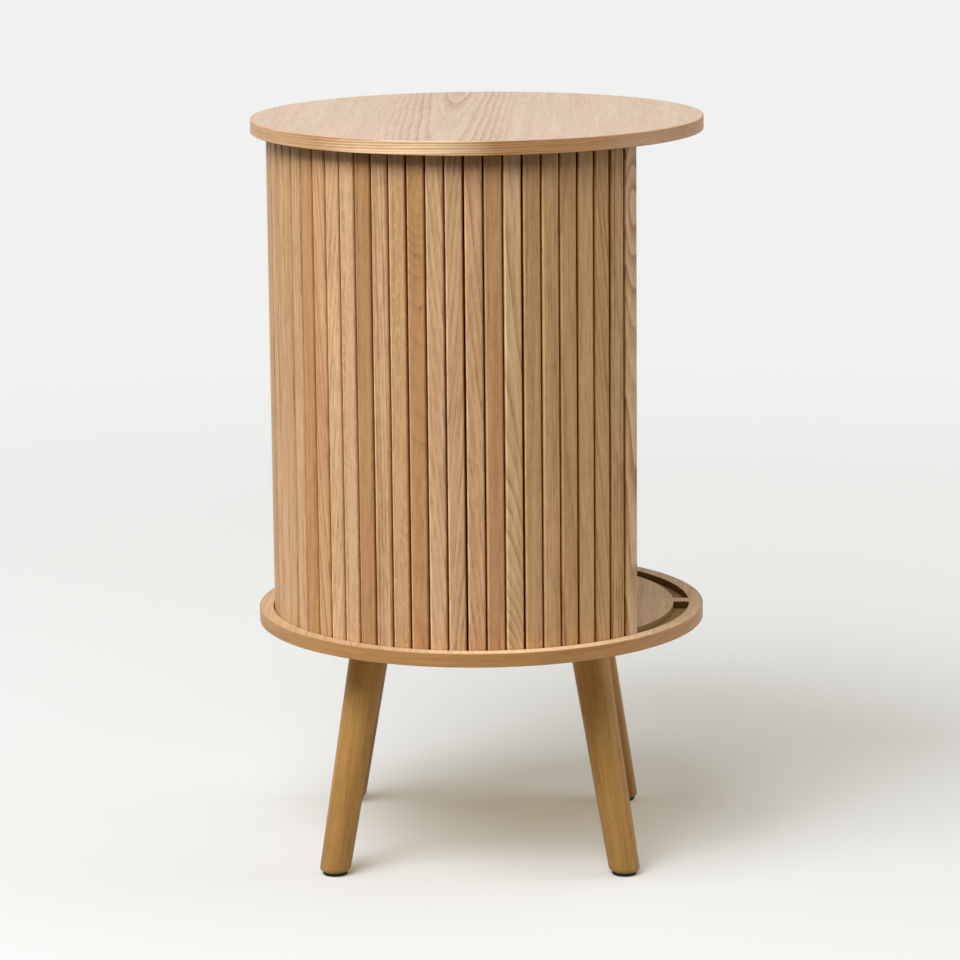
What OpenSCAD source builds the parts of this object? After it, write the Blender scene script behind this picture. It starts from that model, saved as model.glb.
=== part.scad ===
// Round bedside table with a tambour door.
// Two round boards stand one over the other on an upright inner case. A door of
// upright slats on a canvas back runs in a circular track cut into both boards, and
// four splayed, tapered legs screw to plates under the lower board.
// Origin on the floor under the table's centre, +Z up, -Y the front. Angles round the
// table are counted from the front towards +X.

/* [Boards] */
// Diameter of the top and of the base
board_d = 400; // [390:1:430]
// Thickness of the top and of the base
board_t = 12; // [11:0.5:16]
// Height of the whole table
table_h = 660; // [640:1:720]
// Clear height between the base and the top
bay_h = 428; // [360:1:440]
// Thickness of the wood edging round each board
edging_t = 1; // [0.6:0.1:2]
// Rounding of the outer edges of the edging
edging_round = 0.6; // [0.2:0.1:0.6]
// Thickness of the glue line between a board and its edging
glue_line = 0.3; // [0.3:0.05:0.5]

/* [Track] */
// Radius of the outer wall of the track
track_outer_r = 187.5; // [187:0.1:188]
// Width of the track
track_w = 14.1; // [13.5:0.1:15]
// Depth of the track in each board
track_depth = 6.5; // [4:0.5:8]
// Place of the middle of the stop blocks, from the front
stop_at = 91; // [80:1:95]
// Length of a stop block along the track
stop_l = 14; // [8:1:20]

/* [Tambour door] */
// Number of slats
slat_count = 35; // [20:1:35]
// Angle from one slat to the next
slat_pitch = 5.105; // [5:0.005:5.12]
// Width of a slat
slat_w = 15.2; // [14:0.1:15.2]
// Thickness of a slat
slat_t = 10; // [8:0.5:10]
// Radius to the flat back of the slats
slat_back_r = 176.3; // [176:0.1:176.5]
// Rounding of the two outer edges of a slat
slat_round = 2; // [0.4:0.1:3]
// Place of the leading edge of the door as it stands, from the front
door_edge_at = 49.1; // [0:0.1:75]
// Thickness of the canvas
canvas_t = 0.7; // [0.5:0.1:1]
// Length of slat left bare at each end of the canvas
canvas_margin = 16; // [12:1:40]
// Play of the slats above the floor of the lower track
slat_play_below = 0.3; // [0.2:0.1:0.5]
// Play of the slats below the roof of the upper track
slat_play_above = 1.5; // [1:0.1:3]

/* [Inner case] */
// Width of the case over its side panels
case_w = 264; // [240:1:264]
// Thickness of the side panels and of the shelf
case_t = 12; // [12:0.5:13]
// Depth of a side panel
side_d = 205; // [190:1:210]
// Distance of the rear edge of a side panel behind the centre
side_rear = 106; // [100:1:108]
// Thickness of the back panel
back_t = 6; // [4:0.5:8]
// Depth of the groove that holds each edge of the back panel
back_groove = 5; // [3:0.5:6]
// Distance of the back panel from the rear edge of the side panels
back_inset = 4; // [3:0.5:8]
// Height of the clear space under the shelf
shelf_up = 204; // [120:1:280]

/* [Legs] */
// Place of the front legs to each side of the front, and of the rear ones to each side of the rear
leg_at = 47; // [40:1:50]
// Radius from the table's centre to the leg's axis at the underside of the base
leg_top_r = 130.4; // [110:0.2:140]
// Radius from the table's centre to the leg's axis at the floor
leg_foot_r = 176.2; // [150:0.2:185]
// Diameter of a leg at its top
leg_top_d = 32.6; // [30:0.2:40]
// Diameter of a leg at its foot
leg_foot_d = 27; // [22:0.2:30]
// Rounding of the foot's edge
foot_round = 4; // [2:0.5:5]
// Diameter of a glide
glide_d = 22; // [16:1:24]
// Thickness of a glide
glide_t = 3; // [2:0.5:5]
// Side of a leg plate
plate_side = 56; // [50:1:60]
// Thickness of a leg plate
plate_t = 2.5; // [2:0.5:3]

/* [Hidden] */
$fn = 96;
cut = 1; // extra length of a cutter past the face it opens

// Levels
top_z = table_h - board_t;
base_top_z = top_z - bay_h;
base_z = base_top_z - board_t;
track_floor_z = base_top_z - track_depth;
track_roof_z = top_z + track_depth;
slat_z = track_floor_z + slat_play_below;
slat_h = track_roof_z - slat_play_above - slat_z;

// Boards and track
edging_r = board_d / 2 - edging_t;
core_r = edging_r - glue_line;
track_inner_r = track_outer_r - track_w;

// Case
panel_x = (case_w - case_t) / 2;
inner_w = case_w - 2 * case_t;
side_front = side_rear - side_d;
back_y = side_rear - back_inset - back_t;
shelf_z = base_top_z + shelf_up;
shelf_play = 0.5;
shelf_setback = 8;

// Fasteners of the case: cam bolts stand in the boards and cams in the panels turn on them
board_hole_depth = 8;
cam_y = [-62, 72];
cam_d = 12;
cam_depth = 9.5;
cam_rise = 24; // from the board's face to the cam's centre
cam_bolt_d = 6;
cam_bolt_neck_d = 4;
cam_bolt_head_t = 2;
cam_bore_d = 7;
cam_bolt_past = 3; // from the cam's centre to the end of the bolt
cam_slot_l = 7;
cam_slot_w = 1.6;
dowel_y = [-34, 44];
dowel_d = 6;
dowel_l = 24;
pin_d = 5;
pin_l = 16;
pin_hole_depth = 8;
pin_inset = 33;
pin_y = [side_front + pin_inset, back_y - pin_inset];

// Legs
leg_angles = [-leg_at, leg_at, 180 - leg_at, 180 + leg_at];
leg_names = ["leg_front_left", "leg_front_right", "leg_rear_right", "leg_rear_left"];
leg_lean = atan((leg_foot_r - leg_top_r) / base_z);
leg_axis_l = base_z / cos(leg_lean);
leg_top_chamfer = 1.5;
boss_d = 22;
boss_drop = 4;
leg_start = (plate_t + boss_drop) / cos(leg_lean); // along the axis from the base's underside
foot_top_z = glide_t + foot_round;
foot_r = leg_foot_r - (glide_t + foot_round / 2) * tan(leg_lean); // to the middle of the foot
foot_spare = 0.6; // of the foot's rounding past the leg's own radius
bolt_d = 8;
bolt_in_leg = 45;
bolt_above = 4;
bolt_pocket_d = 13;
bolt_pocket_depth = 7;
screw_d = 3.6;
screw_hole_d = 4.6;
screw_head_d = 7;
screw_head_t = 2.2;
screw_in_board = 8;
screw_inset = 8;
plate_corner_r = 7;
glide_ease = 0.8;
nail_d = 3;
nail_l = 14;

function two(n) = n < 10 ? str("0", n) : str(n);
function slat_name(n) = str("slat_", two(n));
function slat_angle(n) = door_edge_at - (n - 0.5) * slat_pitch;
// A point x to the side and r out from the centre, turned by a from the front
function turned(x, r, a) = [x * cos(a) + r * sin(a), x * sin(a) - r * cos(a)];

// ---- boards -------------------------------------------------------------------

// The circular groove that the slats run in, between two levels
module track_ring(z0, z1) {
    translate([0, 0, z0]) difference() {
        cylinder(r = track_outer_r, h = z1 - z0);
        translate([0, 0, -cut]) cylinder(r = track_inner_r, h = z1 - z0 + 2 * cut);
    }
}

// Holes of the case's bolts and dowels in the face of a board at z, going up or down
module case_holes(z, up) {
    from = up ? z - cut : z - board_hole_depth;
    for (side = [-1, 1]) {
        for (y = cam_y) translate([side * panel_x, y, from])
            cylinder(d = cam_bolt_d, h = board_hole_depth + cut);
        for (y = dowel_y) translate([side * panel_x, y, from])
            cylinder(d = dowel_d, h = board_hole_depth + cut);
    }
}

module top_board() {
    color("burlywood") difference() {
        translate([0, 0, top_z]) cylinder(r = core_r, h = board_t);
        track_ring(top_z - cut, track_roof_z);
        case_holes(top_z, true);
    }
}

module base_board() {
    color("burlywood") difference() {
        translate([0, 0, base_z]) cylinder(r = core_r, h = board_t);
        track_ring(track_floor_z, base_top_z + cut);
        case_holes(base_top_z, false);
        for (a = leg_angles) on_leg_plate(a) {
            translate([0, 0, -cut]) cylinder(d = bolt_pocket_d, h = bolt_pocket_depth + cut);
            plate_corners() translate([0, 0, -cut]) cylinder(d = screw_d, h = screw_in_board + cut);
        }
    }
}

// The strip of solid wood round a board's edge, with both outer edges eased
module edging(z) {
    translate([0, 0, z]) rotate_extrude() translate([edging_r, 0]) {
        square([edging_t - edging_round, board_t]);
        translate([0, edging_round]) square([edging_t, board_t - 2 * edging_round]);
        for (y = [edging_round, board_t - edging_round])
            translate([edging_t - edging_round, y]) circle(r = edging_round);
    }
}

module top_edging() color("peru") edging(top_z);
module base_edging() color("peru") edging(base_z);

// A block glued across the track that the door's edges stop against
module stop_block(z) {
    intersection() {
        track_ring(z, z + track_depth);
        rotate([0, 0, stop_at]) translate([-stop_l / 2, -track_outer_r - cut, z])
            cube([stop_l, track_w + 2 * cut + stop_l, track_depth]);
    }
}

module top_stop_block() color("sienna") stop_block(top_z);
module base_stop_block() color("sienna") stop_block(track_floor_z);

// ---- tambour door ---------------------------------------------------------------

// Section of a slat: flat back on the x axis, outer face towards -y with round edges
module slat_section() {
    translate([-slat_w / 2, slat_round - slat_t]) square([slat_w, slat_t - slat_round]);
    translate([slat_round - slat_w / 2, -slat_t]) square([slat_w - 2 * slat_round, slat_t]);
    for (side = [-1, 1])
        translate([side * (slat_w / 2 - slat_round), slat_round - slat_t]) circle(r = slat_round);
}

module slat(n) {
    color([0.70 + 0.06 * sin(n * 97), 0.52 + 0.05 * sin(n * 97), 0.36 + 0.04 * sin(n * 61)])
        rotate([0, 0, slat_angle(n)]) translate([0, -slat_back_r, slat_z])
            linear_extrude(slat_h) slat_section();
}

// The canvas lies flat on the back of each slat and bends only between them
module door_canvas() {
    outline = [for (n = [1:slat_count], side = [1, -1]) [side * slat_w / 2, slat_angle(n)]];
    outer = [for (p = outline) turned(p[0], slat_back_r, p[1])];
    inner = [for (i = [len(outline) - 1:-1:0])
        turned(outline[i][0], slat_back_r - canvas_t, outline[i][1])];
    color("linen") translate([0, 0, slat_z + canvas_margin])
        linear_extrude(slat_h - 2 * canvas_margin) polygon(concat(outer, inner));
}

// ---- inner case -----------------------------------------------------------------

// A side panel, drawn as the right one: inner face towards -x
module side_panel() {
    inner_x = inner_w / 2;
    difference() {
        translate([inner_x, side_front, base_top_z]) cube([case_t, side_d, bay_h]);
        translate([inner_x - cut, back_y, base_top_z - cut])
            cube([back_groove + cut, back_t, bay_h + 2 * cut]);
        for (y = pin_y) translate([inner_x - cut, y, shelf_z - pin_d / 2]) rotate([0, 90, 0])
            cylinder(d = pin_d, h = pin_hole_depth + cut);
        for (upper = [false, true]) at_case_end(upper) {
            for (y = cam_y) {
                translate([panel_x, y, -cut]) cylinder(d = cam_bore_d, h = cam_rise + cam_bolt_past + cut);
                translate([inner_x - cut, y, cam_rise]) rotate([0, 90, 0])
                    cylinder(d = cam_d, h = cam_depth + cut);
            }
            for (y = dowel_y) translate([panel_x, y, -cut])
                cylinder(d = dowel_d, h = dowel_l - board_hole_depth + cut);
        }
    }
}

// Puts what rises from z = 0 on the base, or hangs it from the top
module at_case_end(upper) {
    if (upper) translate([0, 0, top_z]) mirror([0, 0, 1]) children();
    else translate([0, 0, base_top_z]) children();
}

// The same thing at both ends of both side panels
module at_all_ends() {
    for (upper = [false, true], left = [0, 1])
        mirror([left, 0, 0]) at_case_end(upper) children();
}

module side_panel_right() color("wheat") side_panel();
module side_panel_left() color("wheat") mirror([1, 0, 0]) side_panel();

module back_panel() {
    w = inner_w + 2 * back_groove;
    color("wheat") translate([-w / 2, back_y, base_top_z]) cube([w, back_t, bay_h]);
}

module shelf() {
    w = inner_w - 2 * shelf_play;
    y0 = side_front + shelf_setback;
    color("wheat") translate([-w / 2, y0, shelf_z]) cube([w, back_y - shelf_play - y0, case_t]);
}

module cam_bolts() {
    color("silver") at_all_ends() for (y = cam_y) translate([panel_x, y, -board_hole_depth]) {
        bolt_l = board_hole_depth + cam_rise + cam_bolt_past;
        cylinder(d = cam_bolt_d, h = board_hole_depth);
        cylinder(d = cam_bolt_neck_d, h = bolt_l);
        translate([0, 0, bolt_l - cam_bolt_head_t]) cylinder(d = cam_bolt_d, h = cam_bolt_head_t);
    }
}

// A cam has a mouth for the bolt's head and a cross slot in its face
module cam_locks() {
    color("gainsboro") at_all_ends() for (y = cam_y) difference() {
        translate([inner_w / 2, y, cam_rise]) rotate([0, 90, 0]) cylinder(d = cam_d, h = cam_depth);
        translate([panel_x, y, 0]) cylinder(d = cam_bore_d, h = cam_rise + cam_bolt_past);
        translate([inner_w / 2 - cut, y, cam_rise]) {
            cube([2 * cut + cam_slot_w, cam_slot_l, cam_slot_w], center = true);
            cube([2 * cut + cam_slot_w, cam_slot_w, cam_slot_l], center = true);
        }
    }
}

module dowels() {
    color("navajowhite") at_all_ends() for (y = dowel_y)
        translate([panel_x, y, -board_hole_depth]) cylinder(d = dowel_d, h = dowel_l);
}

module shelf_pins() {
    color("silver") for (left = [0, 1], y = pin_y) mirror([left, 0, 0])
        translate([inner_w / 2 + pin_hole_depth - pin_l, y, shelf_z - pin_d / 2])
            rotate([0, 90, 0]) cylinder(d = pin_d, h = pin_l);
}

// ---- legs -------------------------------------------------------------------------

// Places children at a leg's plate, on the underside of the base, x pointing outwards
module on_leg_plate(a) {
    rotate([0, 0, a - 90]) translate([leg_top_r, 0, base_z]) children();
}

// Places children on a leg's axis, with +z down the leg from the underside of the base
module along_leg(a) {
    on_leg_plate(a) rotate([0, 180 - leg_lean, 0]) children();
}

module plate_corners() {
    reach = plate_side / 2 - screw_inset;
    for (x = [-1, 1], y = [-1, 1]) translate([x * reach, y * reach, 0]) children();
}

// Places children on the floor under the middle of a leg's foot
module under_foot(a) {
    rotate([0, 0, a - 90]) translate([foot_r, 0, 0]) children();
}

// A bowl, level with the floor, that rounds the foot's edge just above the glide
module foot_bowl() {
    flat_r = leg_foot_d / 2 + foot_spare - foot_round;
    rotate_extrude() {
        translate([0, glide_t]) square([flat_r, foot_round]);
        intersection() {
            translate([flat_r, foot_top_z]) circle(r = foot_round);
            translate([flat_r, glide_t]) square(foot_round);
        }
        translate([0, foot_top_z]) polygon([[0, 0], [flat_r + foot_round, 0],
            [leg_foot_r, foot_round], [leg_foot_r, base_z], [0, base_z]]);
    }
}

// A turned, tapered leg: square to its axis at the top, level with the floor at the foot
module leg(a) {
    top_r = leg_top_d / 2;
    bottom_r = leg_foot_d / 2;
    color("peru") difference() {
        intersection() {
            along_leg(a) rotate_extrude() polygon([
                [0, leg_start],
                [top_r - leg_top_chamfer, leg_start],
                [top_r, leg_start + leg_top_chamfer],
                [bottom_r, leg_axis_l],
                [bottom_r, leg_axis_l + bottom_r],
                [0, leg_axis_l + bottom_r]]);
            under_foot(a) foot_bowl();
        }
        along_leg(a) cylinder(d = bolt_d, h = leg_start + bolt_in_leg);
        under_foot(a) cylinder(d = nail_d, h = glide_t + nail_l);
    }
}

// Steel plates with a slanted, threaded boss for the leg's bolt
module leg_plates() {
    color("silver") for (a = leg_angles) difference() {
        union() {
            on_leg_plate(a) translate([0, 0, -plate_t]) linear_extrude(plate_t) {
                square([plate_side, plate_side - 2 * plate_corner_r], center = true);
                square([plate_side - 2 * plate_corner_r, plate_side], center = true);
                for (x = [-1, 1], y = [-1, 1])
                    translate([x, y] * (plate_side / 2 - plate_corner_r)) circle(r = plate_corner_r);
            }
            intersection() {
                along_leg(a) translate([0, 0, -boss_d]) cylinder(d = boss_d, h = boss_d + leg_start);
                on_leg_plate(a) translate([0, 0, -boss_d]) cylinder(d = 2 * boss_d, h = boss_d);
            }
        }
        along_leg(a) translate([0, 0, -boss_d]) cylinder(d = bolt_d, h = 2 * boss_d);
        on_leg_plate(a) plate_corners() translate([0, 0, -plate_t - cut])
            cylinder(d = screw_hole_d, h = plate_t + 2 * cut);
    }
}

module plate_screws() {
    color("gray") for (a = leg_angles) on_leg_plate(a) plate_corners() {
        translate([0, 0, -plate_t - screw_head_t]) cylinder(d = screw_head_d, h = screw_head_t);
        translate([0, 0, -plate_t]) cylinder(d = screw_d, h = plate_t + screw_in_board);
    }
}

module hanger_bolts() {
    color("silver") for (a = leg_angles) along_leg(a) translate([0, 0, -bolt_above])
        cylinder(d = bolt_d, h = bolt_above + leg_start + bolt_in_leg);
}

// Nail-on glides: a disc with an eased lower edge and its nail
module glides() {
    glide_r = glide_d / 2;
    color("black") for (a = leg_angles) under_foot(a) {
        rotate_extrude() polygon([[0, 0], [glide_r - glide_ease, 0], [glide_r, glide_ease],
            [glide_r, glide_t], [0, glide_t]]);
        cylinder(d = nail_d, h = glide_t + nail_l);
    }
}

// ---- assembly -----------------------------------------------------------------------

top_board();
top_edging();
top_stop_block();
base_board();
base_edging();
base_stop_block();
side_panel_left();
side_panel_right();
back_panel();
shelf();
cam_bolts();
cam_locks();
dowels();
shelf_pins();
for (i = [0:3]) leg(leg_angles[i]);
leg_plates();
plate_screws();
hanger_bolts();
glides();
door_canvas();
for (n = [1:slat_count]) slat(n);
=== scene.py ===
import math

import bmesh
import bpy
import numpy as np
from mathutils import Matrix, Vector


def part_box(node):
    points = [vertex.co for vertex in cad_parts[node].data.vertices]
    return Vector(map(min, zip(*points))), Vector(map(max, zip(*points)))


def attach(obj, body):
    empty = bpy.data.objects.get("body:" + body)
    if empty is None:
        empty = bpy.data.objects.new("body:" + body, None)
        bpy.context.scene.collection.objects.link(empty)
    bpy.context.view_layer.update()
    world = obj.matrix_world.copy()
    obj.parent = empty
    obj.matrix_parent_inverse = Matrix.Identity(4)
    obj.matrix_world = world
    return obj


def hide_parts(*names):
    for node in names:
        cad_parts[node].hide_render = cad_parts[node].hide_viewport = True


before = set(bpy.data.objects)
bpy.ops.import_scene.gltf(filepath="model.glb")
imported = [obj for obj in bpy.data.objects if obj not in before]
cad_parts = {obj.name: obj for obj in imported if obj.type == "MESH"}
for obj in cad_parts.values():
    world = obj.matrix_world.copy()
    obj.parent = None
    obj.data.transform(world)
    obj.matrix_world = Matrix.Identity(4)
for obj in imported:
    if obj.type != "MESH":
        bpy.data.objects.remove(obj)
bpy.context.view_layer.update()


# ---- Camera ----------------------------------------------------------------------------------
# A long lens 3.5 m in front and a little above the top, looking down and turned slightly
# to the table's right, as the photographed edges of both boards and the slats give it.
frame_px, focal_px = 960, 4005.4
stands_at = (0.0036, -3.5278, 1.0468)
round_table, pan, tilt, roll = 1.7, 0.061, -11.462, -0.545
eye = bpy.data.cameras.new("camera")
eye.sensor_width = 36.0
eye.lens = focal_px / frame_px * eye.sensor_width
eye.clip_end = 100.0
camera = bpy.data.objects.new("camera", eye)
bpy.context.scene.collection.objects.link(camera)
camera.matrix_world = (
    Matrix.Rotation(math.radians(round_table), 4, "Z")
    @ Matrix.Translation(stands_at)
    @ Matrix.Rotation(math.radians(pan), 4, "Z")
    @ Matrix.Rotation(math.radians(90 + tilt), 4, "X")
    @ Matrix.Rotation(math.radians(roll), 4, "Z")
)
bpy.context.scene.camera = camera
bpy.context.scene.view_settings.view_transform = "Standard"


# ---- Floor and light -------------------------------------------------------------------------
# A plain pale floor that fades into a white backdrop, large soft lights from the left and the
# front, weaker ones low on both sides and behind, and a dim surround of light.
def node(tree, kind, inputs=None, **settings):
    """Adds a node, sets it up, and wires or fills its inputs."""
    made = tree.nodes.new(kind)
    for name, value in settings.items():
        setattr(made, name, value)
    for name, value in (inputs or {}).items():
        if isinstance(value, bpy.types.NodeSocket):
            tree.links.new(value, made.inputs[name])
        else:
            made.inputs[name].default_value = value
    return made


def maths(tree, operation, a, b=0.0, c=0.0, **settings):
    """A number worked out from one to three others."""
    return node(tree, "ShaderNodeMath", {0: a, 1: b, 2: c}, operation=operation,
                **settings).outputs[0]


def blend(tree, share, none, full):
    """A colour between two others."""
    return node(tree, "ShaderNodeMix", {0: share, 6: none, 7: full}, data_type="RGBA").outputs[2]


def object_place(tree):
    """Where a point lies in its object, in metres."""
    return node(tree, "ShaderNodeTexCoord").outputs["Object"]


def parts_of(tree, vector):
    return node(tree, "ShaderNodeSeparateXYZ", {0: vector}).outputs


def finish_of(name, **sockets):
    """A material with one Principled shader, and plain values set on the shader itself."""
    material = bpy.data.materials.new(name)
    material.use_nodes = True
    shader = material.node_tree.nodes["Principled BSDF"]
    for socket, value in sockets.items():
        shader.inputs[socket.replace("_", " ")].default_value = value
    return material, material.node_tree, shader


door_middle = 0.43
lamps_away = 5.0


def softbox(name, level, spread, azimuth, elevation):
    """A round soft light that faces the middle of the door. Level is what it gives there, in
    W/m2, spread the angle that it fills, and azimuth goes from the front towards +X."""
    lamp = bpy.data.lights.new(name, "AREA")
    lamp.shape = "DISK"
    lamp.size = 2 * lamps_away * math.tan(math.radians(spread / 2))
    lamp.energy = level * math.pi * lamps_away ** 2
    held = bpy.data.objects.new(name, lamp)
    bpy.context.scene.collection.objects.link(held)
    held.matrix_world = (Matrix.Translation((0, 0, door_middle))
                         @ Matrix.Rotation(math.radians(azimuth), 4, "Z")
                         @ Matrix.Rotation(math.radians(90 - elevation), 4, "X")
                         @ Matrix.Translation((0, 0, lamps_away)))


floor_half = 14.0
floor_mesh = bpy.data.meshes.new("floor")
floor_mesh.from_pydata(
    [(-floor_half, -floor_half, 0), (floor_half, -floor_half, 0),
     (floor_half, floor_half, 0), (-floor_half, floor_half, 0)], [], [(0, 1, 2, 3)])
floor = bpy.data.objects.new("floor", floor_mesh)
bpy.context.scene.collection.objects.link(floor)
floor_paint, tree, shader = finish_of("floor paint", Roughness=0.9, Specular_IOR_Level=0.0)


def shown_rays(tree):
    """One where a ray comes from the camera or a reflection, or through glass."""
    ray = node(tree, "ShaderNodeLightPath").outputs
    mirrored = maths(tree, "MAXIMUM", ray["Is Camera Ray"], ray["Is Glossy Ray"])
    return maths(tree, "MAXIMUM", mirrored, ray["Is Transmission Ray"])


from_table = node(tree, "ShaderNodeVectorMath", {0: object_place(tree)},
                  operation="LENGTH").outputs["Value"]
shown = shown_rays(tree)


def by_distance(near_m, far_m, near, far):
    """A colour of the floor that changes with the distance from the table."""
    share = node(tree, "ShaderNodeMapRange", {0: from_table, 1: near_m, 2: far_m},
                 interpolation_type="SMOOTHSTEP").outputs[0]
    return blend(tree, share, near, far)


# The floor that the camera sees gives way to the backdrop further out, and near the table it
# glows a little warm, a painted light that lifts the table's shadow. What the floor sends
# back to the table is the light of a warm floor near it and of a dark one beyond.
black, painted_warm_fill, backdrop = (0, 0, 0, 1), (0.17, 0.13, 0.05, 1), (0.88, 0.88, 0.87, 1)
all_backdrop = 2.6
bounce = by_distance(0.25, 0.9, (0.62, 0.58, 0.50, 1), (0.10, 0.10, 0.10, 1))
shown_paint = by_distance(0.6, all_backdrop, (0.56, 0.59, 0.64, 1), black)
# Painted light: near the table the seen floor glows warm, lifting the table's shadow
backdrop_and_painted_fill = by_distance(0.5, all_backdrop, painted_warm_fill, backdrop)
tree.links.new(blend(tree, shown, bounce, shown_paint), shader.inputs["Base Color"])
tree.links.new(blend(tree, shown, black, backdrop_and_painted_fill), shader.inputs["Emission Color"])
shader.inputs["Emission Strength"].default_value = 1.0
floor_mesh.materials.append(floor_paint)

surround = bpy.data.worlds.new("surround")
surround.use_nodes = True
bpy.context.scene.world = surround
air = surround.node_tree
air.nodes.clear()
way = parts_of(air, node(air, "ShaderNodeTexCoord").outputs["Generated"])
behind = node(air, "ShaderNodeMapRange", {0: way[1], 1: 0.0, 2: 0.7, 3: 0.05, 4: 0.30}).outputs[0]
above = node(air, "ShaderNodeMapRange", {0: way[2], 1: 0.2, 2: 1.0, 3: 0.0, 4: 0.25}).outputs[0]
level = node(air, "ShaderNodeMix", {0: shown_rays(air), 2: maths(air, "ADD", behind, above),
                                    3: backdrop[0]}, data_type="FLOAT").outputs[0]
white = node(air, "ShaderNodeBackground", {"Color": (1, 1, 1, 1), "Strength": level})
node(air, "ShaderNodeOutputWorld", {"Surface": white.outputs[0]})
softbox("window light", level=1.97, spread=32, azimuth=-50, elevation=50)
softbox("front light", level=2.08, spread=33, azimuth=-19, elevation=48)
softbox("left light", level=0.6, spread=36, azimuth=-95, elevation=24)
softbox("right light", level=1.1, spread=30, azimuth=93, elevation=9)
softbox("back light", level=0.4, spread=40, azimuth=120, elevation=60)


# ---- Top board and base board ----------------------------------------------------------------
# Round 12 mm boards of brown fibreboard faced with flat-sawn oak veneer, grain from front to
# back, under a satin lacquer. The circular track routed for the door bares the fibreboard.
def three(tree, x, y, z):
    return node(tree, "ShaderNodeCombineXYZ", {0: x, 1: y, 2: z}).outputs[0]


def bumps(tree, height, depth):
    return node(tree, "ShaderNodeBump", {"Height": height, "Distance": depth}).outputs[0]


def spots(tree, scale, detail, rough=0.5):
    """Fine noise that stays with the object, with so many spots a metre."""
    return node(tree, "ShaderNodeTexNoise",
                {"Vector": object_place(tree), "Scale": scale, "Detail": detail,
                 "Roughness": rough}).outputs[0]


def feed(shader, **sockets):
    """Wires colours, masks and normals into the material's shader."""
    for socket, output in sockets.items():
        shader.id_data.links.new(output, shader.inputs[socket.replace("_", " ")])


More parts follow.
